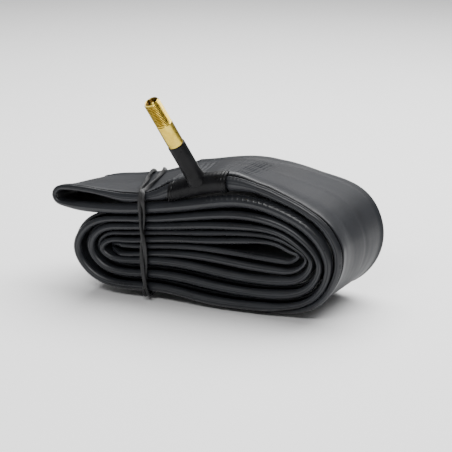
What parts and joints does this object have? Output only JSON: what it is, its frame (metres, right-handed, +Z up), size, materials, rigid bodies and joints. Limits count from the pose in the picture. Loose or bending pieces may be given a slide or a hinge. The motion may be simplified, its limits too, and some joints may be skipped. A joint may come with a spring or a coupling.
{
  "type": "bicycle inner tube",
  "caption": "Let-down rubber bicycle inner tube rolled into a flat pack, edges showing, held by a rubber band, with a brass car-type valve standing up from its top layer.",
  "frame": {"origin": "middle of the bottom of the whole object's box, on the surface it stands on", "axes": "+X along the pack towards its rounded end, +Y from the front edges to the back edges, +Z up"},
  "size_m": [0.1538, 0.0864, 0.1051],
  "materials": {
    "butyl_rubber": "satin black butyl rubber with a faint bluish cast, fine mould lines and light scuffs",
    "sleeve_rubber": "smooth darker moulded rubber",
    "band_rubber": "matt black elastic",
    "seal_rubber": "dull dark red rubber",
    "brass": "bright turned brass, rolled thread at the top",
    "spring_steel": "drawn wire"
  },
  "bodies": {
    "pack": {"tube": "butyl_rubber", "valve_pad": "butyl_rubber", "valve_sleeve": "sleeve_rubber", "valve_stem": "brass", "elastic_band": "band_rubber"},
    "core": {"core_barrel": "brass", "core_seal": "seal_rubber", "core_spring": "spring_steel"},
    "plug": {"core_plug": "brass"},
    "pin": {"core_pin": "brass", "spring_seat": "brass", "core_cup": "brass", "cup_seal": "seal_rubber"}
  },
  "joints": [
    {"name": "core_lift", "type": "slide", "parent": "pack", "child": "core", "axis": [-0.2631, -0.4592, 0.8484], "range_m": [0, 0.00423]},
    {"name": "core_turn", "type": "hinge", "parent": "core", "child": "plug", "pos_m": [0.00349, -0.01634, 0.06089], "axis": [-0.2631, -0.4592, 0.8484], "range_deg": [0, 2160]},
    {"name": "pin_press", "type": "slide", "parent": "core", "child": "pin", "axis": [0.2631, 0.4592, -0.8484], "range_m": [0, 0.0015], "stiffness_N_per_m": 500, "springref_m": -0.002, "deforming": ["core_spring"]}
  ],
  "couplings": [
    {"joint": "core_turn", "follows": "core_lift", "rad_per_m": 8912.3}
  ]
}
